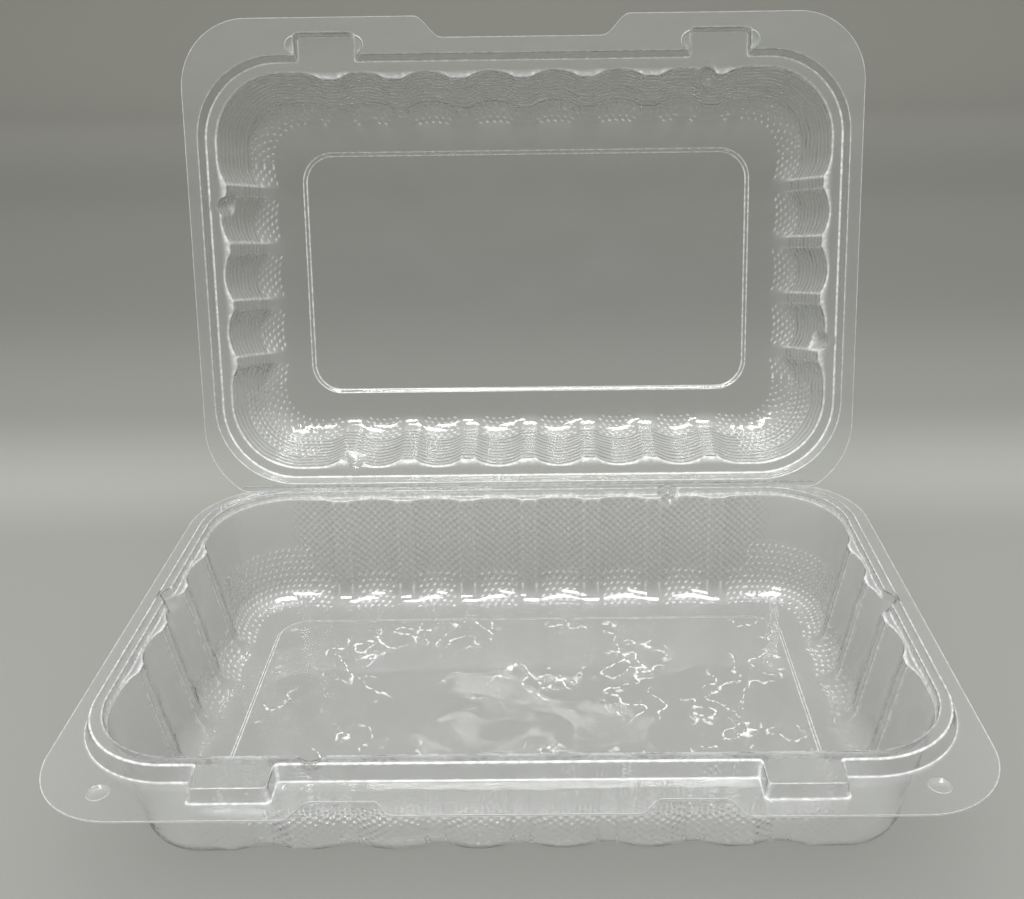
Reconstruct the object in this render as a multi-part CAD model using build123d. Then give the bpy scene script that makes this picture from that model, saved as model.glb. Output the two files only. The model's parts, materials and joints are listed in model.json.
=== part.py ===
from build123d import *
import math
import os

# A clear food pack, formed from one sheet: a deep tray and a shallower lid that fold together along a crease.
# Millimetres, +Z up, the crease along X. The origin is under the middle of the open pack, level with its feet.
# Both halves are drawn in the closed position, with the crease on the X axis and the flange on Z = 0,
# and are then put in place, the lid turned open about the crease.

# Sheet and fits
SHEET = 0.4
NEST = 0.3
CREASE_GAP = 0.3
OPEN_ANGLE = 104.8

# Flange, from the crease to its front edge
FLANGE_WIDTH = 235.0
FLANGE_REACH = 165.0
FRONT_CORNER = 23.2
REAR_CORNER = 27.6
CREASE_INSET = 13.1

# Front edge of the lid: one wide recess for a thumb
LID_RECESS_FLOOR = 55.0
LID_RECESS_MOUTH = 73.4
LID_RECESS_DEPTH = 7.0

# Front edge of the tray: a centre tab between two notches
TAB_WIDTH = 58.0
TAB_SETBACK = 1.2
NOTCH_START = 33.7
NOTCH_WIDTH = 15.2
NOTCH_DEPTH = 5.8
NOTCH_LEAN = 5.0

# Raised rim of the tray, which the lid's rim nests over
SIDE_BAND = 4.9
FRONT_BAND = 12.7
REAR_BAND = 3.5
RIM_HEIGHT = 4.2
RIM_LEAN = 1.3
RIM_CORNER = 27.5
LEDGE = 3.2

# Latch blocks on the front of the rim
LATCH_SPACING = 135.6
LATCH_WIDTH = 19.8
LATCH_REACH = 7.2
LATCH_EDGE = 1.0
EAR_RADIUS = 3.3
EAR_HEIGHT = 2.8

# Pocket walls, shared by both halves at the ledge
WALL_CORNER = 24.0
FLUTE_DEPTH = 2.4
LONG_PITCH = 22.4
LONG_FLUTE = 5.0
SHORT_PITCH = 20.4
SHORT_FLUTE = 4.0

# Tray pocket
TRAY_DEPTH = 36.2
TRAY_COLLAR = 2.7
COLLAR_LEAN = 0.4
COLLAR_SHELF = 0.15
TRAY_DRAFT = 9.2
TRAY_BEND = 8.2
TRAY_FLOOR_CORNER = 12.0
TRAY_PANEL = (174.0, 94.0)
TRAY_PANEL_CORNER = 9.5
TRAY_PANEL_STEP = 1.2

# Lid pocket
LID_DEPTH = 25.0
LID_DRAFT = 27.0
LID_BEND = 8.0
LID_FLOOR_CORNER = 12.0
LID_PANEL = (164.0, 88.0)
LID_PANEL_CORNER = 10.5
LID_PANEL_STEP = 1.0

# Small formed features
FLOOR_FLUTE_DEPTH = 1.4
BEND_BANDS = 2
FALLING = (-1, -0.5, 0)
RISING = (0, 0.5, 1)
CORNER_FACETS = 8
ROUND_FACETS = 14
LUG_RADIUS = 3.0
LUG_BULGE = 2.2
LUG_HEIGHT = 4.5
TRAY_LUG_SIDE = 3.2
TRAY_LUG_END = 50.0
LID_LUG_SIDE = 25.6
LID_LUG_END = 64.5
BUTTON_RADIUS = 2.2
BUTTON_DEPTH = 0.9
BUTTON_SIDE = 17.5
BUTTON_FRONT = 10.0
CUT = 1.0

RIM_WIDTH = FLANGE_WIDTH - 2 * SIDE_BAND
RIM_REACH = FLANGE_REACH - FRONT_BAND - REAR_BAND
CENTRE_Y = -REAR_BAND - RIM_REACH / 2
POCKET_HALF_X = RIM_WIDTH / 2 - RIM_LEAN - LEDGE
POCKET_HALF_Y = RIM_REACH / 2 - RIM_LEAN - LEDGE
RIM_FRONT_Y = -REAR_BAND - RIM_REACH


def rounded(width, depth, corner, z):
    """A rounded rectangle at height z, about the pocket's centre."""
    return Pos(0, CENTRE_Y, z) * RectangleRounded(width, depth, corner)


def s_curve(start, end):
    """Two equal arcs that leave start and reach end level with the flange's front edge."""
    middle = ((start[0] + end[0]) / 2, (start[1] + end[1]) / 2)
    level = (math.copysign(1, end[0] - start[0]), 0)
    first = Edge.make_tangent_arc(start, level, middle)
    second = Edge.make_tangent_arc(end, (-level[0], 0), middle)
    return [first, second]


def half_and_mirror(edges, bottom, top):
    """A closed face from the edges of its right half, mirrored about the Y axis."""
    left = [edge.mirror(Plane.YZ) for edge in edges]
    bridge = [
        Edge.make_line((-bottom[0], bottom[1]), bottom),
        Edge.make_line((-top[0], top[1]), top),
    ]
    return Face(Wire(edges + left + bridge))


def lid_recess():
    """What is cut from the lid's front edge."""
    front = -FLANGE_REACH
    floor = (LID_RECESS_FLOOR / 2, front + LID_RECESS_DEPTH)
    mouth = (LID_RECESS_MOUTH / 2, front)
    outside = (LID_RECESS_MOUTH / 2, front - CUT)
    edges = s_curve(floor, mouth) + [Edge.make_line(mouth, outside)]
    return half_and_mirror(edges, floor, outside)


def tray_notches():
    """What is cut from the tray's front edge, either side of its centre tab."""
    front = -FLANGE_REACH
    tab = (TAB_WIDTH / 2, front + TAB_SETBACK)
    near = (NOTCH_START, front + NOTCH_DEPTH)
    far = (NOTCH_START + NOTCH_WIDTH, front + NOTCH_DEPTH)
    mouth = (NOTCH_START + NOTCH_WIDTH + NOTCH_LEAN, front)
    outside = (mouth[0], front - CUT)
    edges = s_curve(tab, near)
    edges += [Edge.make_line(near, far)]
    edges += s_curve(far, mouth)
    edges += [Edge.make_line(mouth, outside)]
    return half_and_mirror(edges, tab, outside)


def flange_outline(front_cut):
    """The flange as a flat face, its rear corners cut short by the crease."""
    across = REAR_CORNER - CREASE_INSET
    past_crease = REAR_CORNER - math.sqrt(REAR_CORNER**2 - across**2)
    reach = FLANGE_REACH + past_crease
    whole = Pos(0, past_crease - reach / 2) * Rectangle(FLANGE_WIDTH, reach)
    whole = fillet(whole.vertices().group_by(Axis.Y)[-1], REAR_CORNER)
    whole = fillet(whole.vertices().group_by(Axis.Y)[0], FRONT_CORNER)
    spare = past_crease + CUT
    behind = Pos(0, spare / 2 - CREASE_GAP / 2) * Rectangle(FLANGE_WIDTH, spare)
    return whole - behind - front_cut


def tapered(width, depth, corner, lean, low, high):
    """A block about the pocket's centre whose four walls lean in by lean from low to high."""
    foot = rounded(width, depth, corner, low)
    top = rounded(width - 2 * lean, depth - 2 * lean, max(corner - lean, CUT / 2), high)
    return loft([foot, top], ruled=True)


def rim(grow, base, low, high):
    """The raised rim and its latch blocks, standing on base, drawn out by grow."""
    out_low = grow - RIM_LEAN * low / RIM_HEIGHT
    lean = RIM_LEAN * (high - low) / RIM_HEIGHT
    body = tapered(
        RIM_WIDTH + 2 * out_low, RIM_REACH + 2 * out_low, RIM_CORNER + out_low, lean, base + low, base + high
    )
    for side in (-1, 1):
        body += latch_block(side, grow, base, low, high)
    return body


def latch_block(side, grow, base, low, high):
    """One latch block, from inside the rim's top to its front face."""
    rear = RIM_LEAN + LEDGE / 2
    outline = RectangleRounded(
        LATCH_WIDTH + 2 * grow, rear + LATCH_REACH + 2 * grow, LATCH_EDGE + max(grow, 0)
    )
    middle = RIM_FRONT_Y + (rear - LATCH_REACH) / 2
    return extrude(Pos(side * LATCH_SPACING / 2, middle, base + low) * outline, high - low)


def post(radius, low, high):
    """A round post on the Z axis, with few faces."""
    return extrude(Pos(0, 0, low) * RegularPolygon(radius, ROUND_FACETS), high - low)


def latch_ears(grow, base, low, high):
    """The half-round ears on both sides of each latch box of the lid."""
    ears = []
    for latch in (-1, 1):
        for side in (-1, 1):
            x = latch * LATCH_SPACING / 2 + side * (LATCH_WIDTH / 2 + NEST)
            y = RIM_FRONT_Y - LATCH_REACH / 2
            ears.append(Pos(x, y, base) * post(EAR_RADIUS + grow, low, high))
    return ears


def fit_flutes(half_length, corner, pitch):
    """How many flutes a side takes between its corner lobes."""
    room = half_length - corner - pitch / 2 - CUT / 2
    return math.floor(2 * room / pitch) + 1


def lobe(middle, half, out, depth, shares):
    """Points on an outward lobe of the wall, from share -1 at its left foot to 1 at its right foot."""
    return [(middle + half * share, out + depth * share**2) for share in shares]


def fluted_side(half_length, half_width, corner, depth, count, pitch, flute):
    """Points along the front side of the wall and the corner after it: lobes with a narrow flute between each two."""
    half = (pitch - flute) / 2
    first = -count * pitch / 2
    out = -half_width
    points = [(corner - half_length, out)]
    points += lobe(first, half, out, depth, RISING)
    for number in range(1, count):
        points += lobe(first + number * pitch, half, out, depth, FALLING + RISING[1:])
    points += lobe(-first, half, out, depth, FALLING)
    for step in range(CORNER_FACETS):
        turn = step * math.pi / 2 / CORNER_FACETS
        x = half_length - corner + corner * math.sin(turn)
        points.append((x, out + corner - corner * math.cos(turn)))
    return points


def wall_outline(level, grow, counts):
    """The fluted wall at one level, as a flat face about the pocket's centre."""
    z, shrink, corner, depth = level
    half_x = POCKET_HALF_X - shrink + grow
    half_y = POCKET_HALF_Y - shrink + grow
    corner = corner + grow
    front = fluted_side(half_x, half_y, corner, depth, counts[0], LONG_PITCH, LONG_FLUTE)
    end = fluted_side(half_y, half_x, corner, depth, counts[1], SHORT_PITCH, SHORT_FLUTE)
    points = front + [(-y, x) for x, y in end]
    points += [(-x, -y) for x, y in points]
    return Pos(0, CENTRE_Y, z) * Face(Wire.make_polygon(points))


def wall_levels(start, set_in, fall, depth, draft, bend, floor_corner):
    """Height, inset, corner radius and flute depth, down the wall and round its bend into the floor."""
    lean = math.radians(draft)
    wall = depth - bend * (1 - math.sin(lean))
    inset = set_in + wall * math.tan(lean)
    levels = [(start, set_in, WALL_CORNER - set_in, FLUTE_DEPTH)]
    for band in range(BEND_BANDS + 1):
        share = band / BEND_BANDS
        turn = lean + share * (math.pi / 2 - lean)
        drop = depth - bend * (1 - math.sin(turn))
        shrink = inset + bend * (math.cos(lean) - math.cos(turn))
        corner = (1 - share) * (WALL_CORNER - inset) + share * floor_corner
        flute = (1 - share) * FLUTE_DEPTH + share * FLOOR_FLUTE_DEPTH
        levels.append((start + fall * drop, shrink, corner, flute))
    return levels


def pocket(start, set_in, fall, depth, draft, bend, floor_corner):
    """The outside and the inside of a fluted pocket as two solids, the inside open past its start."""
    inner = wall_levels(start, set_in, fall, depth, draft, bend, floor_corner)
    outer = wall_levels(start, set_in, fall, depth + SHEET, draft, bend + SHEET, floor_corner)
    floor_shrink = inner[-1][1]
    counts = (
        fit_flutes(POCKET_HALF_X - floor_shrink, floor_corner, LONG_PITCH),
        fit_flutes(POCKET_HALF_Y - floor_shrink, floor_corner, SHORT_PITCH),
    )
    mouth = (start - fall * CUT, set_in, WALL_CORNER - set_in, FLUTE_DEPTH)
    outside = loft([wall_outline(level, SHEET, counts) for level in outer], ruled=True)
    inside = loft([wall_outline(level, 0, counts) for level in [mouth] + inner], ruled=True)
    return outside, inside


def collar(grow, low, high):
    """The plain band of the tray's wall between the ledge and the flutes."""
    lean = COLLAR_LEAN * (high - low) / TRAY_COLLAR
    out = grow + COLLAR_LEAN * (high - RIM_HEIGHT) / TRAY_COLLAR
    top = rounded(2 * (POCKET_HALF_X + out), 2 * (POCKET_HALF_Y + out), WALL_CORNER + out, high)
    out -= lean
    foot = rounded(2 * (POCKET_HALF_X + out), 2 * (POCKET_HALF_Y + out), WALL_CORNER + out, low)
    return loft([foot, top], ruled=True)


def lugs(grow, side_y, end_x, low, high):
    """Four half-round stacking lugs at the top of the wall, the same from both ends."""
    set_in = LUG_RADIUS - LUG_BULGE
    x = POCKET_HALF_X - set_in
    y = POCKET_HALF_Y - set_in
    places = [(-x, side_y), (x, -side_y), (end_x, y), (-end_x, -y)]
    return [Pos(px, CENTRE_Y + py) * post(LUG_RADIUS + grow, low, high) for px, py in places]


def buttons(grow, low, high):
    """The two round dimples in the tray's front corners."""
    x = FLANGE_WIDTH / 2 - BUTTON_SIDE
    y = BUTTON_FRONT - FLANGE_REACH
    return [Pos(side * x, y) * post(BUTTON_RADIUS + grow, low, high) for side in (-1, 1)]


def panel(size, corner, grow, low, high):
    """The plain-sided block that raises or sinks a flat panel in the middle of a floor."""
    outline = rounded(size[0] + 2 * grow, size[1] + 2 * grow, corner + grow, low)
    return extrude(outline, high - low)


def make_tray():
    """The tray: flange, raised rim, deep fluted pocket and a floor panel raised off the table."""
    tray = extrude(Pos(0, 0, -SHEET) * flange_outline(tray_notches()), SHEET)
    tray += buttons(SHEET, -BUTTON_DEPTH - SHEET, -SHEET / 2)
    tray -= buttons(0, -BUTTON_DEPTH, CUT)
    tray += rim(0, 0, 0, RIM_HEIGHT)
    tray -= rim(-SHEET, 0, -SHEET - CUT, RIM_HEIGHT - SHEET)
    start = RIM_HEIGHT - TRAY_COLLAR
    drop = start + TRAY_DEPTH
    set_in = COLLAR_LEAN + COLLAR_SHELF
    outside, inside = pocket(start, set_in, -1, drop, TRAY_DRAFT, TRAY_BEND, TRAY_FLOOR_CORNER)
    lug_foot = RIM_HEIGHT - LUG_HEIGHT
    tray += outside
    tray += collar(SHEET, start - SHEET, RIM_HEIGHT)
    tray += lugs(SHEET, TRAY_LUG_SIDE, TRAY_LUG_END, lug_foot - SHEET, RIM_HEIGHT)
    tray -= inside
    tray -= collar(0, start, RIM_HEIGHT + CUT)
    tray -= lugs(0, TRAY_LUG_SIDE, TRAY_LUG_END, lug_foot, RIM_HEIGHT + CUT)
    floor = -TRAY_DEPTH
    tray += panel(TRAY_PANEL, TRAY_PANEL_CORNER, 0, floor, floor + TRAY_PANEL_STEP)
    under = floor - SHEET
    tray -= panel(TRAY_PANEL, TRAY_PANEL_CORNER, -SHEET, under, under + TRAY_PANEL_STEP)
    return tray


def make_lid():
    """The lid, closed: flange, nesting rim with latch boxes, shallow fluted pocket and a top panel."""
    lid = extrude(Pos(0, 0, NEST) * flange_outline(lid_recess()), SHEET)
    lid += rim(NEST + SHEET, NEST, 0, RIM_HEIGHT + SHEET)
    lid += latch_ears(SHEET, NEST, 0, EAR_HEIGHT + SHEET)
    ledge = NEST + RIM_HEIGHT
    rise = LID_DEPTH - RIM_HEIGHT
    outside, inside = pocket(ledge, 0, 1, rise, LID_DRAFT, LID_BEND, LID_FLOOR_CORNER)
    lug_top = ledge + LUG_HEIGHT
    top = NEST + LID_DEPTH
    lid += outside
    lid += lugs(SHEET, -LID_LUG_SIDE, -LID_LUG_END, ledge, lug_top + SHEET)
    lid += panel(LID_PANEL, LID_PANEL_CORNER, SHEET, top, top + LID_PANEL_STEP + SHEET)
    lid -= rim(NEST, NEST, -CUT, RIM_HEIGHT)
    lid -= latch_ears(0, NEST, -CUT, EAR_HEIGHT)
    lid -= inside
    lid -= lugs(0, -LID_LUG_SIDE, -LID_LUG_END, ledge - CUT, lug_top)
    lid -= panel(LID_PANEL, LID_PANEL_CORNER, 0, top - CUT, top + LID_PANEL_STEP)
    return lid


turned = Rot(-OPEN_ANGLE, 0, 0)
tray = make_tray()
lid = turned * make_lid()
front = tray.bounding_box().min.Y
back = lid.bounding_box().max.Y
crease = Pos(0, -(front + back) / 2, TRAY_DEPTH + SHEET)
nodes = {"tray": crease * tray, "lid": crease * lid}
os.makedirs("parts", exist_ok=True)
for name, shape in nodes.items():
    shape.label = name
    export_step(shape, f"parts/{name}.step")
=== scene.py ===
import json
import math

import bmesh
import bpy
import numpy as np
from mathutils import Matrix, Vector, noise


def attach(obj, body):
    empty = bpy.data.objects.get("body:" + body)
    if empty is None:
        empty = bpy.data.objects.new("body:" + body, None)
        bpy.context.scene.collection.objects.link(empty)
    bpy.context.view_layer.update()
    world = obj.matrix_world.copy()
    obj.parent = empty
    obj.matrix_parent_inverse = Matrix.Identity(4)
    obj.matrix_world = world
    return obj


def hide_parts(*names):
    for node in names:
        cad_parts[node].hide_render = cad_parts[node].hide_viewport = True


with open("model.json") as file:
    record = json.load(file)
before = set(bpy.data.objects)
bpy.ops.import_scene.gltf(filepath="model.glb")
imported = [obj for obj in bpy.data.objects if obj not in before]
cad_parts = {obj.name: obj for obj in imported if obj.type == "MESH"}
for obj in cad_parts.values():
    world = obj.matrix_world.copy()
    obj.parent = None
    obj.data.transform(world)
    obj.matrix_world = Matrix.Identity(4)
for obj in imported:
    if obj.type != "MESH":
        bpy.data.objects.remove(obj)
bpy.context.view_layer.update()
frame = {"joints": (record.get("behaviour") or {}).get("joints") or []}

# The crease, where tray and lid fold against each other: a line pressed into the one sheet.
# Everything is placed from it, in millimetres and as when the pack is shut. It lies on the X axis, the tray's
# flange lies on Z = 0, and the front is towards -Y.
crease_joint = frame["joints"][0]
crease_point = Vector(crease_joint["pos_m"])
open_angle = -math.radians(crease_joint["range_deg"][0])
MM = 0.001
tray_place = Matrix.Translation(crease_point) @ Matrix.Scale(MM, 4)
lid_place = Matrix.Translation(crease_point) @ Matrix.Rotation(-open_angle, 4, "X") @ Matrix.Scale(MM, 4)
SHEET = 0.4
CREASE_GAP = 0.3
CREASE_HALF = 104.4
CREASE_LINE_RADIUS = 0.45 * CREASE_GAP
BEAD_RADIUS = 0.3
BEAD_SET_IN = 1.9
BEAD_RISE = 0.4
# The crease beads' whiteness: stress whitening of the pressed crease and a painted highlight.
BEAD_WHITE_AND_HIGHLIGHT = 0.7


def film(name):
    """A finish of the sheet, made once for all the pieces that have it."""
    return bpy.data.materials.get(name) or bpy.data.materials.new(name)


def film_piece(name, bm, place, body):
    """An object of the clear sheet, at the origin, with its place in its mesh, riding on a body."""
    bmesh.ops.transform(bm, matrix=place, verts=bm.verts)
    mesh = bpy.data.meshes.new(name)
    bm.to_mesh(mesh)
    bm.free()
    mesh.materials.append(film(f"{body}_film"))
    piece = bpy.data.objects.new(name, mesh)
    bpy.context.scene.collection.objects.link(piece)
    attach(piece, body)
    return piece


def crease_bead(radius, y, z):
    """A fine round bead along the crease."""
    bm = bmesh.new()
    turn = Matrix.Translation((0, y, z)) @ Matrix.Rotation(math.pi / 2, 4, "Y")
    bmesh.ops.create_cone(bm, cap_ends=True, segments=12, radius1=radius, radius2=radius,
                          depth=2 * CREASE_HALF, matrix=turn)
    fold = bm.verts.layers.float.new("fold")
    for vert in bm.verts:
        vert[fold] = BEAD_WHITE_AND_HIGHLIGHT
    for face in bm.faces:
        face.smooth = len(face.verts) == 4
    return bm


film_piece("crease_line", crease_bead(CREASE_LINE_RADIUS, 0, 0), tray_place, "tray")
film_piece("tray_crease_bead", crease_bead(BEAD_RADIUS, -BEAD_SET_IN, -BEAD_RISE), tray_place, "tray")
film_piece("lid_crease_bead", crease_bead(BEAD_RADIUS, -BEAD_SET_IN, CREASE_GAP + BEAD_RISE), lid_place, "lid")


# The tray: flange, raised rim with two latches, and a deep fluted pocket, vacuum-formed from the flat sheet.
# Its walls are outward lobes with a narrow flute between each two, turned corners and a bend into the floor.
# Lines run round it, all with the same stations, and the skin is stretched from each to the next.
FLANGE_HALF = 117.5
FLANGE_REACH = 165.0
FRONT_CORNER = 23.2
REAR_CORNER = 27.6
SIDE_BAND = 4.9
FRONT_BAND = 12.7
REAR_BAND = 3.5
FLAT_BAND = 0.35
RIM_HEIGHT = 4.2
RIM_LEAN = 1.3
RIM_PROFILE = ((0.9, 0), (0.45, 0), (0.15, 0.1), (-0.08, 0.5), (-1.12, 3.6), (-1.32, 4.0), (-1.65, RIM_HEIGHT),
               (-2.05, RIM_HEIGHT))
RIM_TOP_EDGE = 2.3
RIM_CORNER = 27.5
LEDGE = 3.2
RIM_HALF_X = FLANGE_HALF - SIDE_BAND
RIM_HALF_Y = (FLANGE_REACH - FRONT_BAND - REAR_BAND) / 2
CENTRE_Y = -REAR_BAND - RIM_HALF_Y
POCKET_HALF_X = RIM_HALF_X - RIM_LEAN - LEDGE
POCKET_HALF_Y = RIM_HALF_Y - RIM_LEAN - LEDGE
WALL_CORNER = 24.0
FLUTE_DEPTH = 2.4
FLOOR_FLUTE_DEPTH = 1.4
FLOOR_CORNER = 12.0
LONG_SIDE = {"count": 7, "pitch": 22.4, "flute": 5.0, "lobe_steps": 14, "flute_steps": 4}
SHORT_SIDE = {"count": 4, "pitch": 20.4, "flute": 4.0, "lobe_steps": 12, "flute_steps": 4}
LONG_END = LONG_SIDE["count"] * LONG_SIDE["pitch"] / 2
SHORT_END = SHORT_SIDE["count"] * SHORT_SIDE["pitch"] / 2
CORNER_STEPS = 38
LATCH_X = 67.8
LATCH_HALF = 9.9
LATCH_REACH = 7.2
LATCH_TURN = 1.0
LATCH_SIDE_STEPS = 12
LATCH_CLEAR = 2.3
LATCH_DRAFT = 0.35
SPREAD_INSIDE = (-0.5, 0.9, 1.4, 2.0)
SPREAD_OUTSIDE = (-2.0, -1.8, -1.0, 0.2)
WALL_STEP = 1.2
BEND_STEPS = 11
LUG_RADIUS = 3.4
LUG_LEDGE = 2.85
LUG_BULGE = 2.2
LUG_NEAR = 6.0
LUG_FOOT = 1.0
LUG_ROUNDING = 1.5
# Shares of the folds' whitening and painted highlight kept on the lugs and on the long walls.
LUG_WHITE_AND_HIGHLIGHT = 0.1
LONG_WHITE_AND_HIGHLIGHT = 0.45
PANEL_PROFILE = ((1.5, 0), (1.0, 0), (0.6, 0.02), (0, 0.5), (-0.6, 0.98), (-1.0, 1), (-1.5, 1))
PANEL_RINGS = 14
PANEL_CROWDING = 1.2
WARP = 0.9
WARP_SIZE = 17.0
DIMPLE_GAP = 0.9
DIMPLE_SHARE = 0.7
DIMPLE_STRIDE = 2
# Painted highlights on the dimples, brighter towards the crease, never below a faintest share.
DIMPLE_HIGHLIGHT = 0.6
DIMPLE_HIGHLIGHT_FADE = 60.0
CORNER_MARK = 100
CORNER_ROWS = 8
FOLD_TURN = math.radians(30)


def side_stations(side):
    """Along a fluted side: the distance from its middle, the share of the flute depth, and no latch."""
    half = (side["pitch"] - side["flute"]) / 2
    first = -side["count"] * side["pitch"] / 2
    steps = side["lobe_steps"]
    stations = []
    for number in range(side["count"] + 1):
        middle = first + number * side["pitch"]
        start = 0 if number == 0 else -steps // 2
        end = 0 if number == side["count"] else steps // 2
        for step in range(start, end + 1):
            share = 2 * step / steps
            stations.append((middle + half * share, share**2, None))
        if number < side["count"]:
            for step in range(1, side["flute_steps"]):
                stations.append((middle + half + side["flute"] * step / side["flute_steps"], 1.0, None))
    return stations


LATCH_QUARTER = LATCH_TURN * math.pi / 2
LATCH_STRAIGHT = LATCH_REACH - 2 * LATCH_TURN
LATCH_PATH = 2 * LATCH_QUARTER + LATCH_STRAIGHT


def latch_side(along, reach):
    """How far into the latch and how far out from the rim a point on the latch's side lies."""
    gone = along * LATCH_PATH
    if gone < LATCH_QUARTER:
        angle = gone / LATCH_TURN
        across, out = LATCH_TURN * (math.sin(angle) - 1), LATCH_TURN * (1 - math.cos(angle))
    elif gone < LATCH_QUARTER + LATCH_STRAIGHT:
        across, out = 0, LATCH_TURN + gone - LATCH_QUARTER
    else:
        angle = (gone - LATCH_QUARTER - LATCH_STRAIGHT) / LATCH_TURN
        across, out = LATCH_TURN * (1 - math.cos(angle)), LATCH_REACH + LATCH_TURN * (math.sin(angle) - 1)
    return across, out * reach / LATCH_REACH


def spread_by_latch(along, inside):
    """Where a point of a latch's side goes on a line that has no latch, kept clear of folding over."""
    corner = LATCH_QUARTER / LATCH_PATH
    spread = SPREAD_INSIDE if inside else SPREAD_OUTSIDE
    return float(np.interp(along, (0, corner, 1 - corner, 1), spread))


def with_latches(stations):
    """The front side's stations, with a close group of them in place of those at each side of a latch."""
    edges = [(side * LATCH_X + end * LATCH_HALF, -end) for side in (-1, 1) for end in (-1, 1)]
    kept = [station for station in stations
            if all(abs(station[0] - edge) > LATCH_CLEAR for edge, inward in edges)]
    for edge, inward in edges:
        share = min(stations, key=lambda station: abs(station[0] - edge))[1]
        group = [(edge, share, (inward, step / LATCH_SIDE_STEPS)) for step in range(LATCH_SIDE_STEPS + 1)]
        before = sum(station[0] < edge for station in kept)
        kept[before:before] = group if inward > 0 else reversed(group)
    return kept


front_stations = with_latches(side_stations(LONG_SIDE))
back_stations = side_stations(LONG_SIDE)
end_stations = side_stations(SHORT_SIDE)


def corner_points(half_x, half_y, corner, start, squeeze):
    """Points round a corner, from the end of the long side's flutes to the end of the short side's."""
    centre_x = half_x - corner
    centre_y = half_y - corner * math.cos(start)
    before = centre_x + corner * math.sin(start) - LONG_END * squeeze[0]
    turn = corner * (math.pi / 2 - start)
    after = centre_y - SHORT_END * squeeze[1]
    points = []
    for step in range(1, CORNER_STEPS):
        gone = (before + turn + after) * step / CORNER_STEPS
        angle = start + min(max((gone - before) / corner, 0), math.pi / 2 - start)
        x = centre_x + corner * math.sin(angle) + min(gone - before, 0)
        y = centre_y + corner * math.cos(angle) - max(gone - before - turn, 0)
        points.append((x, y))
    return points


def front_side(front, flute, latch, edge, squeeze):
    """The front side's points, round the latches if the line has them."""
    points = []
    for x, share, place in front_stations:
        y = flute * share - front
        if place and latch is not None:
            across, out = latch_side(place[1], LATCH_REACH + latch - (front - RIM_HALF_Y))
            x, y = x + place[0] * (across - latch), -front - out
        elif place:
            x += place[0] * spread_by_latch(place[1], front < RIM_HALF_Y)
        elif latch is not None and abs(abs(x) - LATCH_X) < LATCH_HALF:
            y = -RIM_HALF_Y - LATCH_REACH - latch
        points.append((x * squeeze, y + edge(x) if edge else y))
    return points


def line_round(half_x, front, back, corners, flute=0, latch=None, cut=0, edge=None):
    """A closed line round the pack about the pocket's centre, from the left end of the front side."""
    along = min((half_x - corners[0]) / LONG_END, 1)
    across = min((front - corners[0]) / SHORT_END, 1)
    front_corner = corner_points(half_x, front, corners[0], 0, (along, across))
    back_corner = corner_points(half_x, back, corners[1], cut, (along, across))
    ends = [(half_x - flute * share, y * across) for y, share, place in end_stations]
    points = front_side(front, flute, latch, edge, along)
    points += [(x, -y) for x, y in front_corner]
    points += ends
    points += [(x, y) for x, y in reversed(back_corner)]
    points += [(-x * along, back - flute * share) for x, share, place in back_stations]
    points += [(-x, y) for x, y in back_corner]
    points += [(-x, -y) for x, y in ends]
    points += [(-x, -y) for x, y in reversed(front_corner)]
    return points


def s_curve(x, start, end, depth):
    """The depth at x of two equal arcs, level at both ends, that lead from start down to end."""
    share = min(max((x - start) / (end - start), 0), 1)
    return depth * (3 - 2 * share) * share**2


TAB_SET_BACK = 1.2
NOTCH_INNER_END = (29.0, 33.7, 4.6)
NOTCH_OUTER_END = (48.9, 53.9, 5.8)


def tray_edge(x):
    """How far the tray's front edge is set back at x: a centre tab between two notches."""
    return TAB_SET_BACK + s_curve(abs(x), *NOTCH_INNER_END) - s_curve(abs(x), *NOTCH_OUTER_END)


def level(z, out, corner, flute=0, latch=None):
    """One line round the rim or the wall at a height, drawn out from the rim's foot."""
    line = line_round(RIM_HALF_X + out, RIM_HALF_Y + out, RIM_HALF_Y + out, (corner, corner), flute, latch)
    return [(x, y + CENTRE_Y, z) for x, y in line]


def with_lugs(lines, lugs, foot, fall):
    """The lines with half-round stacking lugs swelling out of the wall between the ledge and the lugs' foot."""
    bulged = []
    for line in lines:
        share = min(max((line[0][2] - foot) * -fall / LUG_FOOT + 1, 0), 1)
        points = []
        for x, y, z in line:
            for lug_x, lug_y in lugs:
                on_side = abs(lug_x) == POCKET_HALF_X
                past = y - CENTRE_Y - lug_y if on_side else x - lug_x
                inward = abs(lug_x) - x * math.copysign(1, lug_x) if on_side else (
                    abs(lug_y) - (y - CENTRE_Y) * math.copysign(1, lug_y))
                if abs(past) < LUG_RADIUS and -LUG_LEDGE < inward < LUG_NEAR:
                    bulge = share * LUG_BULGE * math.cos(past / LUG_RADIUS * math.pi / 2) ** LUG_ROUNDING
                    bulge *= min(1 + inward / LUG_LEDGE, 1)
                    x += math.copysign(bulge, lug_x) if on_side else 0
                    y += 0 if on_side else math.copysign(bulge, lug_y)
            points.append((x, y, z))
        bulged.append(points)
    return bulged


def near_lug(co, lugs):
    """Whether a point lies in a lug."""
    return any(math.hypot(co.x - x, co.y - CENTRE_Y - y) < LUG_RADIUS for x, y in lugs)


def four_lugs(side_y, end_x):
    """The lugs' places about the pocket's centre, the same from both ends of the pack."""
    return [(-POCKET_HALF_X, side_y), (POCKET_HALF_X, -side_y),
            (end_x, POCKET_HALF_Y), (-end_x, -POCKET_HALF_Y)]


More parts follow.
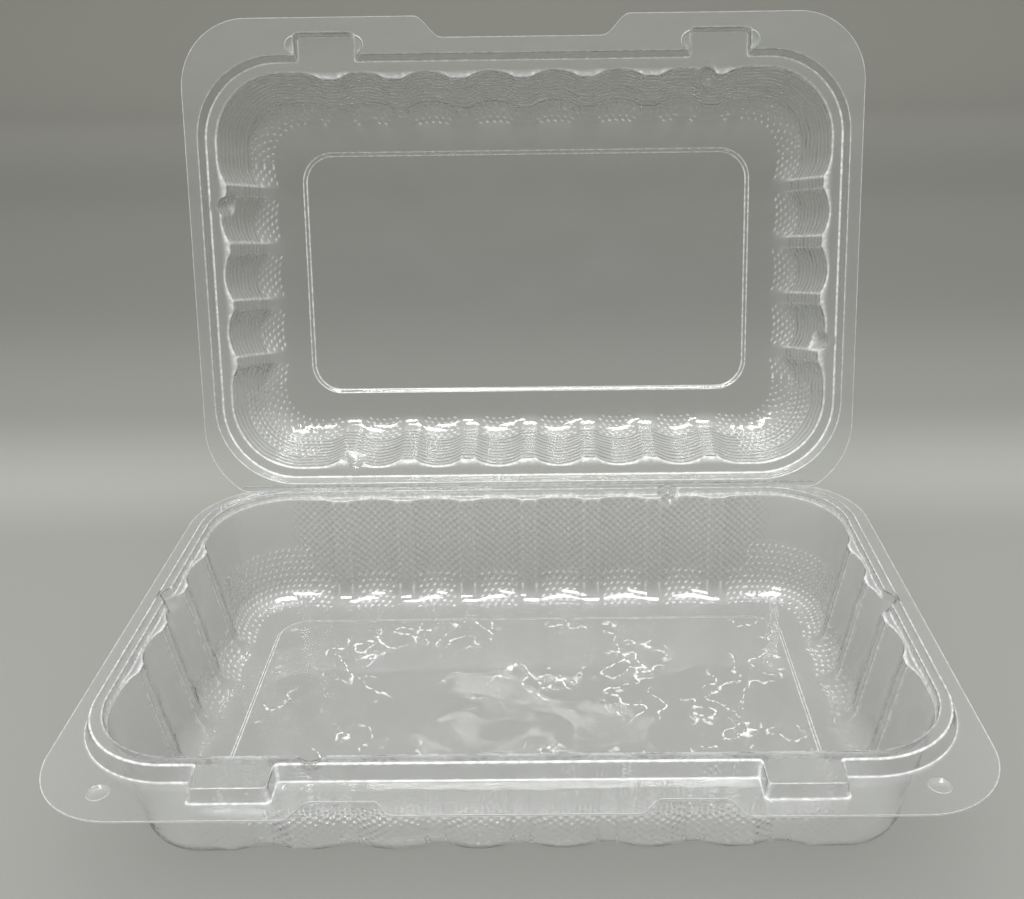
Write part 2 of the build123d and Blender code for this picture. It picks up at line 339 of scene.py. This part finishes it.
def flange_lines(z, edge):
    """The flange's edge, cut off behind by the crease, and a line just inside it that keeps the flange flat."""
    lines = []
    for inset in (0, FLAT_BAND):
        corner = REAR_CORNER - inset
        cut = math.asin((CREASE_HALF - inset - FLANGE_HALF + REAR_CORNER) / corner)
        front = FLANGE_REACH + CENTRE_Y - inset
        back = -CENTRE_Y - CREASE_GAP / 2 - inset
        line = line_round(FLANGE_HALF - inset, front, back, (FRONT_CORNER - inset, corner), cut=cut, edge=edge)
        lines.append([(x, y + CENTRE_Y, z) for x, y in line])
    return lines


def rim_lines(base, grow):
    """The rim's lines, from its rounded foot over its top to the ledge's rounded inner edge."""
    lines = []
    for out, z in RIM_PROFILE:
        latch = grow + (out if out > 0 else LATCH_DRAFT * out)
        lines.append(level(base + z, out + grow, RIM_CORNER + out + grow, latch=latch))
    lines.append(level(base + RIM_HEIGHT, grow - RIM_TOP_EDGE, RIM_CORNER + grow - RIM_TOP_EDGE))
    return lines


def wall_lines(start, set_in, fall, depth, draft, bend):
    """The fluted wall's lines down from its start, then round the bend into the floor."""
    lean = math.radians(draft)
    wall = depth - bend * (1 - math.sin(lean))
    inset = set_in + wall * math.tan(lean)
    edge = RIM_LEAN + LEDGE
    bands = round(wall / math.cos(lean) / WALL_STEP)
    lines = []
    for band in range(bands):
        drop = wall * band / bands
        shrink = set_in + drop * math.tan(lean)
        lines.append(level(start + fall * drop, -edge - shrink, WALL_CORNER - shrink, FLUTE_DEPTH))
    for band in range(BEND_STEPS + 1):
        share = band / BEND_STEPS
        turn = lean + share * (math.pi / 2 - lean)
        drop = depth - bend * (1 - math.sin(turn))
        shrink = inset + bend * (math.cos(lean) - math.cos(turn))
        corner = (1 - share) * (WALL_CORNER - inset) + share * FLOOR_CORNER
        flute = (1 - share) * FLUTE_DEPTH + share * FLOOR_FLUTE_DEPTH
        lines.append(level(start + fall * drop, -edge - shrink, corner, flute))
    return lines


def panel_lines(floor, step, size, corner):
    """The lines of a raised or sunk panel, from its foot over its edge and in towards its middle."""
    lines = []
    for out, share in PANEL_PROFILE:
        half = (size[0] / 2 + out, size[1] / 2 + out)
        line = line_round(half[0], half[1], half[1], (corner + out, corner + out))
        lines.append([(x, y + CENTRE_Y, floor + step * share) for x, y in line])
    edge = lines[-1]
    for ring in range(1, PANEL_RINGS):
        share = 1 - (ring / PANEL_RINGS) ** PANEL_CROWDING
        line = [(x * share, CENTRE_Y + (y - CENTRE_Y) * share, z) for x, y, z in edge]
        lift = WARP * (1 - share)
        lines.append([(x, y, z + lift * noise.noise(Vector((x, y, z)) / WARP_SIZE)) for x, y, z in line])
    return lines


def dimple_marks():
    """For each station round, its number along a lobe or a corner, or nothing in a flute or by a latch."""
    marks = []
    corner = [CORNER_MARK + step for step in range(1, CORNER_STEPS)]
    for stations, side in ((front_stations, LONG_SIDE), (end_stations, SHORT_SIDE), (back_stations, LONG_SIDE),
                           (end_stations, SHORT_SIDE)):
        gap = (side["pitch"] - side["flute"]) / side["lobe_steps"]
        marks += [None if place or share > DIMPLE_SHARE else round(x / gap) for x, share, place in stations]
        marks += corner
    return marks


def mark_folds(bm, fold):
    """Each point's share of whitening and painted highlight, from how sharply the sheet turns there."""
    bm.normal_update()
    for vert in bm.verts:
        turn = max(edge.calc_face_angle(0) for edge in vert.link_edges)
        vert[fold] = min(turn / FOLD_TURN, 1) ** 2
    for face in bm.faces:
        face.smooth = True


def skin(lines, hazes, lugs, walls, panel, dimpled, dimple_depth, faint):
    """One sheet stretched over closed lines, outside in, with rows of dimples whose painted highlights are
    brightest beside the crease.
    """
    bm = bmesh.new()
    fold = bm.verts.layers.float.new("fold")
    rise = bm.verts.layers.float.new("rise")
    grain = bm.verts.layers.float.new("grain")
    haze = bm.verts.layers.float.new("haze")
    warped = bm.verts.layers.float.new("warped")
    count = len(lines[0])
    bmesh.ops.create_grid(bm, x_segments=count, y_segments=len(lines) - 1)
    bm.verts.ensure_lookup_table()
    for vert, point in zip(bm.verts, [point for line in lines for point in line + line[:1]]):
        vert.co = point
    rows = [[bm.verts[row * (count + 1) + column] for column in range(count + 1)] for row in range(len(lines))]
    bmesh.ops.weld_verts(bm, targetmap={row[-1]: row[0] for row in rows})
    innermost = set(rows[-1][:-1])
    bmesh.ops.contextual_create(bm, geom=[edge for edge in bm.edges if innermost.issuperset(edge.verts)])
    bmesh.ops.recalc_face_normals(bm, faces=bm.faces)
    mark_folds(bm, fold)
    for number, row in enumerate(rows):
        for vert in row[:-1]:
            vert[rise] = vert.co.z
            vert[haze] = hazes[number]
            vert[grain] = number in walls
            vert[warped] = number > panel
            if number == 0:
                vert[fold] = 1
            elif near_lug(vert.co, lugs):
                vert[fold] *= LUG_WHITE_AND_HIGHLIGHT
            elif number in walls[2:] and abs(vert.co.x) < LONG_END:
                vert[fold] *= LONG_WHITE_AND_HIGHLIGHT
    marks = dimple_marks()
    for number in range(dimpled.start - CORNER_ROWS, dimpled.stop, 2):
        row = rows[number]
        shift = number // 2 % 2
        for column, mark in enumerate(marks):
            gap = (row[column].co - row[(column + 1) % count].co).length
            stride = DIMPLE_STRIDE * 2 if gap < DIMPLE_GAP else DIMPLE_STRIDE
            on_row = number in dimpled or (mark or 0) > CORNER_MARK and row[column].co.y > CENTRE_Y
            if mark is not None and on_row and (mark + shift * stride // 2) % stride == 0:
                # A painted highlight on each dimple, brighter towards the crease.
                white_and_highlight = DIMPLE_HIGHLIGHT + (row[column].co.y - CENTRE_Y) / DIMPLE_HIGHLIGHT_FADE
                row[column].co += row[column].normal * dimple_depth
                row[column][fold] = min(max(white_and_highlight, faint), 1)
                for face in row[column].link_faces:
                    face.smooth = False
    bm.normal_update()
    return bm


TRAY_LEDGE_PROFILE = ((-3.8, 4.2), (-4.15, 4.2), (-4.42, 4.08), (-4.55, 3.75), (-4.85, 1.75))
FIRST_FLUTED = {"z": 1.66, "out": -4.92, "corner": WALL_CORNER - 0.45, "flute": FLUTE_DEPTH / 3}
TRAY_WALL_TOP = 1.5
TRAY_WALL_SET_IN = 0.55
TRAY_FLOOR = -36.2
TRAY_DRAFT = 9.2
TRAY_BEND = 8.2
TRAY_LUG_Y = 3.2
TRAY_LUG_X = 50.0
TRAY_LUG_FOOT = -0.3
TRAY_PANEL = (174.0, 94.0)
TRAY_PANEL_STEP = 1.2
TRAY_PANEL_CORNER = 9.5
TRAY_FLANGE_HAZE = 0.45
TRAY_DIMPLE_DEPTH = 0.3
TRAY_DIMPLE_FAINTEST_HIGHLIGHT = 0.3
tray_lines = flange_lines(0, tray_edge) + rim_lines(0, 0)
for out, z in TRAY_LEDGE_PROFILE:
    tray_lines.append(level(z, out, WALL_CORNER + out + RIM_LEAN + LEDGE))
tray_lines.append(level(**FIRST_FLUTED))
wall_start = len(tray_lines)
tray_lines += wall_lines(TRAY_WALL_TOP, TRAY_WALL_SET_IN, -1, TRAY_WALL_TOP - TRAY_FLOOR, TRAY_DRAFT, TRAY_BEND)
wall_end = len(tray_lines)
tray_lugs = four_lugs(TRAY_LUG_Y, TRAY_LUG_X)
tray_lines = with_lugs(tray_lines, tray_lugs, TRAY_LUG_FOOT, -1)
tray_lines += panel_lines(TRAY_FLOOR, TRAY_PANEL_STEP, TRAY_PANEL, TRAY_PANEL_CORNER)
tray_dimples = range(wall_end - BEND_STEPS - 3, wall_end - 1, 2)
tray_hazes = [TRAY_FLANGE_HAZE] * wall_start + [1.0] * (len(tray_lines) - wall_start)
tray_skin = skin(tray_lines, tray_hazes, tray_lugs, range(wall_start, wall_end - BEND_STEPS),
                 wall_end + len(PANEL_PROFILE) - 1, tray_dimples, TRAY_DIMPLE_DEPTH, TRAY_DIMPLE_FAINTEST_HIGHLIGHT)
tray = film_piece("tray_sheet", tray_skin, tray_place, "tray")
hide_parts("tray")


# The lid: a shallower pocket formed to nest over the tray's rim.
# Its flange lies on the tray's, its front edge has a wide recess for a thumb, and its walls slope more.
NEST = 0.3
LID_LEDGE_LINES = (-3.7, -4.15)
LID_WALL_TOP = NEST + RIM_HEIGHT + 0.15
LID_WALL_SET_IN = 0.1
LID_FLOOR = 25.3
LID_DRAFT = 27.0
LID_BEND = 8.0
LID_LUG_Y = -25.6
LID_LUG_X = -64.5
LID_LUG_FOOT = 9.0
LID_PANEL = (164.0, 88.0)
LID_PANEL_STEP = 1.0
LID_PANEL_CORNER = 10.5
LID_FLANGE_HAZE = 0.6
LID_DIMPLE_DEPTH = 0.34
LID_DIMPLE_FAINTEST_HIGHLIGHT = 0.75
THUMB_RECESS = 7.0
THUMB_RECESS_END = (27.5, 36.7)


def lid_edge(x):
    """How far the lid's front edge is set back at x."""
    return THUMB_RECESS - s_curve(abs(x), *THUMB_RECESS_END, THUMB_RECESS)


lid_lines = flange_lines(NEST, lid_edge) + rim_lines(NEST, NEST)
for out in LID_LEDGE_LINES:
    lid_lines.append(level(NEST + RIM_HEIGHT, out, WALL_CORNER + (RIM_LEAN + LEDGE) + out))
wall_start = len(lid_lines)
lid_lines += wall_lines(LID_WALL_TOP, LID_WALL_SET_IN, 1, LID_FLOOR - LID_WALL_TOP, LID_DRAFT, LID_BEND)
wall_end = len(lid_lines)
lid_lugs = four_lugs(LID_LUG_Y, LID_LUG_X)
lid_lines = with_lugs(lid_lines, lid_lugs, LID_LUG_FOOT, 1)
lid_lines += panel_lines(LID_FLOOR, LID_PANEL_STEP, LID_PANEL, LID_PANEL_CORNER)
lid_dimples = range(wall_end - BEND_STEPS - 1, wall_end - 1, 2)
lid_hazes = [LID_FLANGE_HAZE] * wall_start + [1.0] * (wall_end - BEND_STEPS - wall_start)
lid_hazes += [1 - step / BEND_STEPS for step in range(BEND_STEPS)] + [0.0] * (len(lid_lines) - wall_end)
lid_skin = skin(lid_lines, lid_hazes, lid_lugs, range(wall_start, wall_end - BEND_STEPS), len(lid_lines),
                lid_dimples, LID_DIMPLE_DEPTH, LID_DIMPLE_FAINTEST_HIGHLIGHT)
lid = film_piece("lid_sheet", lid_skin, lid_place, "lid")
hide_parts("lid")


# The small formed marks: a half-round ear on both sides of each lid latch, and a button in each front corner.
# They are pressed in the same sheet, the ears out of the lid's flange and the buttons down out of the tray's.
EAR_START = 3.1
EAR_CLEAR = 0.45
EAR_PROFILE = ((0.25, 0.3), (0.25, 2.2), (0.5, 0.4), (1.2, 0.1))
EAR_SIDE = LATCH_HALF + NEST
EAR_FRONT = CENTRE_Y - RIM_HALF_Y - LATCH_REACH / 2
BUTTON_START = 2.7
BUTTON_PROFILE = ((0.35, -0.15), (0.35, -0.6), (0.45, -0.15))
BUTTON_X = FLANGE_HALF - 17.5
BUTTON_Y = 10.0 - FLANGE_REACH
OFF_FLANGE = 0.02
CUP_SHEET = 0.3
CUP_SIDES = 28
# The cups keep this share of their folds' whitening and painted highlight.
CUP_WHITE_AND_HIGHLIGHT = 0.4


def pressed_cup(place, start, steps, cut=None):
    """A round cup drawn out of the sheet in rings, cut straight on one side if it stands against a latch."""
    bm = bmesh.new()
    fold = bm.verts.layers.float.new("fold")
    middle = Matrix.Translation(place)
    bmesh.ops.create_circle(bm, cap_ends=True, segments=CUP_SIDES, radius=start, matrix=middle)
    for inset, lift in steps:
        bm.faces.ensure_lookup_table()
        top = max(bm.faces, key=lambda face: len(face.verts))
        bmesh.ops.inset_individual(bm, faces=[top], thickness=inset, depth=lift * top.normal.z)
    if cut:
        bmesh.ops.bisect_plane(bm, geom=[*bm.verts, *bm.edges, *bm.faces], plane_co=(cut[0], 0, 0),
                               plane_no=(cut[1], 0, 0), clear_outer=True)
    bmesh.ops.recalc_face_normals(bm, faces=bm.faces)
    mark_folds(bm, fold)
    for vert in bm.verts:
        vert[fold] *= CUP_WHITE_AND_HIGHLIGHT
    return bm


def cups(name, formed, place, body):
    """Several cups as one piece."""
    whole = bmesh.new()
    for bm in formed:
        mesh = bpy.data.meshes.new(name)
        bm.to_mesh(mesh)
        bm.free()
        whole.from_mesh(mesh)
        bpy.data.meshes.remove(mesh)
    return film_piece(name, whole, place, body)


ears = []
for latch in (-1, 1):
    for side in (-1, 1):
        x = latch * LATCH_X + side * EAR_SIDE
        ears.append(pressed_cup((x, EAR_FRONT, NEST + SHEET + OFF_FLANGE), EAR_START, EAR_PROFILE,
                                (x + side * EAR_CLEAR, -side)))
latch_ears = cups("latch_ears", ears, lid_place, "lid")
buttons = [pressed_cup((side * BUTTON_X, BUTTON_Y, -SHEET - OFF_FLANGE), BUTTON_START, BUTTON_PROFILE)
           for side in (-1, 1)]
tray_buttons = cups("tray_buttons", buttons, tray_place, "tray")

SHARP_TURN = math.radians(60)
for piece, offset, thick in ((tray, -1, SHEET), (lid, 1, SHEET), (latch_ears, 1, CUP_SHEET),
                             (tray_buttons, 1, CUP_SHEET)):
    piece.data.materials.append(film("cut_edge"))
    thickness = piece.modifiers.new("sheet", "SOLIDIFY")
    thickness.thickness = thick * MM
    thickness.offset = offset
    thickness.material_offset_rim = 1
    thickness.use_rim = True
    solid = bpy.data.meshes.new_from_object(piece.evaluated_get(bpy.context.evaluated_depsgraph_get()))
    piece.modifiers.clear()
    piece.data = solid
    solid.set_sharp_from_angle(angle=SHARP_TURN)


# The clear film itself: glossy, letting nearly all light through, with a slight milky veil and a faint waviness.
# Tight folds show stress whitening and painted highlights, drawn dimples show painted highlights, and the tray's
# floor has painted highlights in broken bright threads where it buckled.
FILM_IOR = 1.5
FILM_ROUGHNESS = 0.03
GLOSS_SPREAD = 0.05
WAVE_SCALE = 110.0
WAVE_HEIGHT = 0.0006
FILM_WAVES = 0.35
THIN_HAZE = 0.09
RELIEF_HAZE = 0.2
CLOUD_DIM = 0.985
WHITE_PASS = 0.4
WHITE_ROUGHNESS = 0.7
# Whiteness for folds, the milky haze and the cut edge; at folds it also stands in for painted highlights, and at
# the cut edge for painted light.
WHITE_AND_HIGHLIGHT_COLOUR = (0.95, 0.96, 0.95)
FOLD_WHITE_AND_HIGHLIGHT = 0.5
GLINT_WHITE = 0.4
SPECK_SCALE = 620.0
GLINT_RISE = (0.42, 5.0)
# Painted highlights in broken threads on the tray's buckled floor.
THREAD_SCALE = 120.0
THREAD_FINENESS = 42.0
THREAD_HIGHLIGHT = 1.3
PATCH_SCALE = 42.0
PATCH_RISE = (0.5, 9.0)
BROKEN_RISE = (0.47, 14.0)
LAMP_PASS = 0.985
TERRACE_PITCH = 3.8
TERRACE_WANDER = 6.0
TERRACE_DEPTH = 0.2
MESH_ACROSS = 2300.0
MESH_DOWN = 2.4
MESH_HALF_WIDTH = 0.088
MESH_END_FADE = 150.0
MESH_BACK_RISE = (-0.02, 60.0)
MESH_FRONT_DEPTH = 0.14
MESH_BACK_DEPTH = 0.45
TRAY_CLEAR = 0.98
TRAY_TINT = (0.978, 0.984, 0.974)
LID_CLEAR = 0.988
LID_TINT = (0.942, 0.957, 0.938)
# The cut edge is near-white as painted light, for the light carried along the sheet to its edge.
EDGE_CLEAR = 0.1
EDGE_ROUGHNESS = 0.25
EDGE_WAVES = 0.2


class Shade:
    """A shader socket that does sums, in one material or world."""

    def __init__(self, tree, socket):
        self.tree = tree
        self.socket = socket

    def sum(self, operation, other):
        return self.node("ShaderNodeMath", {"operation": operation}, [self, other])

    def __add__(self, other):
        return self.sum("ADD", other)

    __radd__ = __add__

    def __sub__(self, other):
        return self.sum("SUBTRACT", other)

    def __rsub__(self, other):
        return self * -1.0 + other

    def __mul__(self, other):
        return self.sum("MULTIPLY", other)

    __rmul__ = __mul__

    def __pow__(self, other):
        return self.sum("POWER", other)

    def positive(self):
        """This value, or nothing where it is negative."""
        return self.sum("MAXIMUM", 0)

    def over(self, start, sharpness):
        """How far this value is over the start, from nothing to one."""
        return ((self - start) * sharpness).positive().sum("MINIMUM", 1)

    def node(self, kind, settings, sockets, out=0):
        """Another node of the tree, with its settings, and a value or a link for each socket that is named."""
        node = self.tree.nodes.new(kind)
        for name, value in settings.items():
            if name == "stops":
                node.color_ramp.interpolation = "EASE"
                while len(node.color_ramp.elements) < len(value):
                    node.color_ramp.elements.new(0.5)
                for element, (stop, colour) in zip(node.color_ramp.elements, value):
                    element.position = stop
                    element.color = colour
            else:
                setattr(node, name, value)
        for name, value in (sockets.items() if isinstance(sockets, dict) else enumerate(sockets)):
            if isinstance(value, Shade):
                self.tree.links.new(value.socket, node.inputs[name])
            else:
                node.inputs[name].default_value = value
        return Shade(self.tree, node.outputs[out]) if len(node.outputs) else None


def start(material):
    """The empty tree of a material, as something to add nodes to."""
    material.use_nodes = True
    material.node_tree.nodes.clear()
    return Shade(material.node_tree, None)


def finish_film(material, clear, colour, roughness, waves, pattern=None, painted_sparkle=0.0):
    """A clear plastic shader, with whitening and painted highlights at folds, hazed where it was drawn, that lets
    lamps through.
    """
    shade = start(material)
    place = shade.node("ShaderNodeTexCoord", {}, {}, "Object")
    wide = shade.node("ShaderNodeTexNoise", {}, {"Vector": place, "Scale": WAVE_SCALE, "Detail": 1.0})
    height = wide
    thin = THIN_HAZE
    if pattern:
        rise = shade.node("ShaderNodeAttribute", {"attribute_name": "rise"}, {}, "Fac")
        grain = shade.node("ShaderNodeAttribute", {"attribute_name": "grain"}, {}, "Fac")
        relief = pattern(shade, place, rise, wide) * grain
        height = height + relief
        thin = (relief * RELIEF_HAZE + THIN_HAZE).positive()
    bump = shade.node("ShaderNodeBump", {}, {
        "Strength": waves, "Distance": WAVE_HEIGHT, "Height": height}, "Normal")
    gloss = wide * GLOSS_SPREAD + roughness
    dimmed = [part * CLOUD_DIM for part in colour]
    cloud = shade.node("ShaderNodeMix", {"data_type": "RGBA"}, {
        "Factor": wide, 6: (*colour, 1), 7: (*dimmed, 1)}, 2)
    plastic = shade.node("ShaderNodeBsdfPrincipled", {}, {
        "Base Color": cloud, "Roughness": gloss, "Normal": bump, "Transmission Weight": clear, "IOR": FILM_IOR})
    white_and_highlight = shade.node("ShaderNodeBsdfPrincipled", {}, {
        "Base Color": (*WHITE_AND_HIGHLIGHT_COLOUR, 1), "Roughness": WHITE_ROUGHNESS, "Normal": bump,
        "Transmission Weight": WHITE_PASS, "IOR": FILM_IOR})
    fold = shade.node("ShaderNodeAttribute", {"attribute_name": "fold"}, {}, "Fac")
    haze = shade.node("ShaderNodeAttribute", {"attribute_name": "haze"}, {}, "Fac")
    speck = shade.node("ShaderNodeTexNoise", {}, {"Vector": place, "Scale": SPECK_SCALE, "Detail": 1.0})
    # At folds: stress whitening plus a painted highlight, with painted glints from the specks; the haze is the
    # sheet's milky veil.
    white_and_highlight_share = fold ** 2.0 * (speck.over(*GLINT_RISE) * GLINT_WHITE + FOLD_WHITE_AND_HIGHLIGHT) + haze * thin
    if painted_sparkle:
        # Painted highlights: broken bright threads on the buckled floor panel.
        warped = shade.node("ShaderNodeAttribute", {"attribute_name": "warped"}, {}, "Fac")
        highlight_thread = shade.node("ShaderNodeTexNoise", {}, {"Vector": place, "Scale": THREAD_SCALE, "Detail": 1.0})
        patch = shade.node("ShaderNodeTexNoise", {}, {"Vector": place, "Scale": PATCH_SCALE, "Detail": 0.0})
        line = (1 - (highlight_thread - 0.5).sum("ABSOLUTE", 0) * THREAD_FINENESS).positive()
        white_and_highlight_share = white_and_highlight_share + line * patch.over(*PATCH_RISE) * speck.over(*BROKEN_RISE) * warped * painted_sparkle
    plastic_with_white_and_highlight = shade.node("ShaderNodeMixShader", {}, {0: white_and_highlight_share, 1: plastic, 2: white_and_highlight})
    lamps = shade.node("ShaderNodeBsdfTransparent", {}, {"Color": (LAMP_PASS, LAMP_PASS, LAMP_PASS, 1)})
    shadow = shade.node("ShaderNodeLightPath", {}, {}, "Is Shadow Ray")
    both = shade.node("ShaderNodeMixShader", {}, {0: shadow, 1: plastic_with_white_and_highlight, 2: lamps})
    shade.node("ShaderNodeOutputMaterial", {}, {"Surface": both})


def contours(shade, place, rise, drift):
    """The lid's fine terraces, in wavy lines along its walls."""
    return (rise * TERRACE_PITCH + drift * TERRACE_WANDER).sum("SINE", 0) * TERRACE_DEPTH


def diamonds(shade, place, rise, drift):
    """The tray's fine crossed mesh, on its long walls."""
    x = shade.node("ShaderNodeSeparateXYZ", {}, {"Vector": place}, "X")
    y = shade.node("ShaderNodeSeparateXYZ", {}, {"Vector": place}, "Y")
    long_wall = (MESH_HALF_WIDTH - x.sum("ABSOLUTE", 0)).over(0, MESH_END_FADE)
    crossed = (x * MESH_ACROSS).sum("SINE", 0) * (rise * MESH_DOWN + drift).sum("SINE", 0)
    return crossed * long_wall * (y.over(*MESH_BACK_RISE) * MESH_BACK_DEPTH + MESH_FRONT_DEPTH)


finish_film(film("tray_film"), TRAY_CLEAR, TRAY_TINT, FILM_ROUGHNESS, FILM_WAVES, diamonds, THREAD_HIGHLIGHT)
finish_film(film("lid_film"), LID_CLEAR, LID_TINT, FILM_ROUGHNESS, FILM_WAVES, contours)
# The cut edge: painted light, near-white for the light carried along the sheet.
finish_film(film("cut_edge"), EDGE_CLEAR, WHITE_AND_HIGHLIGHT_COLOUR, EDGE_ROUGHNESS, EDGE_WAVES)


# The floor and backdrop: one pale grey sheet of matt paper, curved up behind the pack.
# Its grey changes with its depth as painted light and shade: a pale band close behind the pack, a darker one
# beyond, and paler up the back.
FLOOR_FRONT = -3.0
FLOOR_BACK = 1.3
SWEEP_RADIUS = 0.5
SWEEP_HEIGHT = 2.2
SWEEP_HALF = 3.4
SWEEP_STEPS = 24
PAPER_ROUGHNESS = 0.85
PAPER_FROM = -0.5
PAPER_TO = 1.9
# The paper's grey by depth, with painted light and shade in its bands.
PAPER_STOPS_WITH_PAINTED_LIGHT = ((0.0, 0.243), (0.24, 0.243), (0.264, 0.30), (0.303, 0.21), (0.377, 0.175), (0.507, 0.20),
               (0.721, 0.305), (1.0, 0.355))
bm = bmesh.new()
profile = [(FLOOR_FRONT, 0), (FLOOR_BACK, 0)]
for step in range(1, SWEEP_STEPS + 1):
    angle = step * math.pi / 2 / SWEEP_STEPS
    profile.append((FLOOR_BACK + SWEEP_RADIUS * math.sin(angle), SWEEP_RADIUS * (1 - math.cos(angle))))
profile.append((FLOOR_BACK + SWEEP_RADIUS, SWEEP_HEIGHT))
line = [bm.verts.new((-SWEEP_HALF, y, z)) for y, z in profile]
edges = [bm.edges.new(pair) for pair in zip(line, line[1:])]
swept = bmesh.ops.extrude_edge_only(bm, edges=edges)["geom"]
far_side = [item for item in swept if isinstance(item, bmesh.types.BMVert)]
bmesh.ops.translate(bm, vec=(2 * SWEEP_HALF, 0, 0), verts=far_side)
sweep_mesh = bpy.data.meshes.new("sweep")
bm.to_mesh(sweep_mesh)
bm.free()
sweep_mesh.shade_smooth()
sweep = bpy.data.objects.new("sweep", sweep_mesh)
bpy.context.scene.collection.objects.link(sweep)
paper = bpy.data.materials.new("paper")
sweep_mesh.materials.append(paper)
shade = start(paper)
place = shade.node("ShaderNodeTexCoord", {}, {}, "Object")
depth = shade.node("ShaderNodeSeparateXYZ", {}, {"Vector": place}, "Y")
share = shade.node("ShaderNodeMapRange", {}, {
    "Value": depth, "From Min": PAPER_FROM, "From Max": PAPER_TO}, "Result")
greys_with_painted_light = [(stop, (grey, grey * 0.995, grey * (0.95 - 0.1 * stop), 1)) for stop, grey in PAPER_STOPS_WITH_PAINTED_LIGHT]
tone_with_painted_light = shade.node("ShaderNodeValToRGB", {"stops": greys_with_painted_light}, {"Fac": share})
matt = shade.node("ShaderNodeBsdfPrincipled", {}, {"Base Color": tone_with_painted_light, "Roughness": PAPER_ROUGHNESS})
shade.node("ShaderNodeOutputMaterial", {}, {"Surface": matt})


# The light: a soft panel overhead, a smaller one from the front left, and a surround that brightens upwards.
# The front panel stands high enough that the lid's flange doesn't mirror it to the camera.
SKY_FROM = 0.15
SKY_TO = 0.95
SKY_DIM = 0.11
SKY_BRIGHT = 0.9


def light(name, place, target, size, watts):
    """A square lamp that faces its target."""
    lamp = bpy.data.lights.new(name, "AREA")
    lamp.shape = "RECTANGLE"
    lamp.size, lamp.size_y = size
    lamp.energy = watts
    piece = bpy.data.objects.new(name, lamp)
    piece.location = place
    piece.rotation_euler = (Vector(target) - Vector(place)).to_track_quat("-Z", "Y").to_euler()
    bpy.context.scene.collection.objects.link(piece)


light("overhead", (0.05, -0.1, 1.3), (0, 0, 0), (0.6, 0.4), 13)
light("front", (-0.35, -0.8, 1.3), (0, 0, 0.08), (0.5, 0.35), 9)
world = bpy.data.worlds.new("surround")
bpy.context.scene.world = world
shade = start(world)
outward = shade.node("ShaderNodeTexCoord", {}, {}, "Generated")
up = shade.node("ShaderNodeSeparateXYZ", {}, {"Vector": outward}, "Z")
glow = shade.node("ShaderNodeMapRange", {"interpolation_type": "SMOOTHSTEP"}, {
    "Value": up, "From Min": SKY_FROM, "From Max": SKY_TO, "To Min": SKY_DIM, "To Max": SKY_BRIGHT}, "Result")
sky = shade.node("ShaderNodeBackground", {}, {"Color": (0.97, 0.98, 1.0, 1), "Strength": glow})
shade.node("ShaderNodeOutputWorld", {}, {"Surface": sky})


# The camera, where the photograph was taken from.
# Its place, turn and focal length were fitted to the corners of the flange and of the lid in the photograph.
CAMERA_FROM_CREASE = Vector((9.6, -354.1, 181.3)) * MM
PITCH = 25.18
YAW = 0.47
ROLL = -0.83
FOCAL_PX = 1084.9
PHOTO_WIDTH = 1024
PHOTO_HEIGHT = 899
CENTRE_PX = (546.5, 452.7)
camera = bpy.data.cameras.new("camera")
camera.sensor_width = 36
camera.lens = FOCAL_PX / PHOTO_WIDTH * camera.sensor_width
camera.shift_x = (PHOTO_WIDTH / 2 - CENTRE_PX[0]) / PHOTO_WIDTH
camera.shift_y = (CENTRE_PX[1] - PHOTO_HEIGHT / 2) / PHOTO_WIDTH
viewer = bpy.data.objects.new("camera", camera)
yaw = Matrix.Rotation(math.radians(YAW), 4, "Z")
pitch = Matrix.Rotation(math.radians(90 - PITCH), 4, "X")
roll = Matrix.Rotation(math.radians(ROLL), 4, "Z")
viewer.matrix_world = Matrix.Translation(crease_point + CAMERA_FROM_CREASE) @ yaw @ pitch @ roll
bpy.context.scene.collection.objects.link(viewer)
bpy.context.scene.camera = viewer

scene = bpy.context.scene
scene.view_settings.view_transform = "Standard"
scene.cycles.max_bounces = 14
scene.cycles.transmission_bounces = 14
scene.cycles.glossy_bounces = 3
scene.cycles.diffuse_bounces = 2
scene.cycles.transparent_max_bounces = 16
scene.cycles.caustics_reflective = False
scene.cycles.caustics_refractive = False
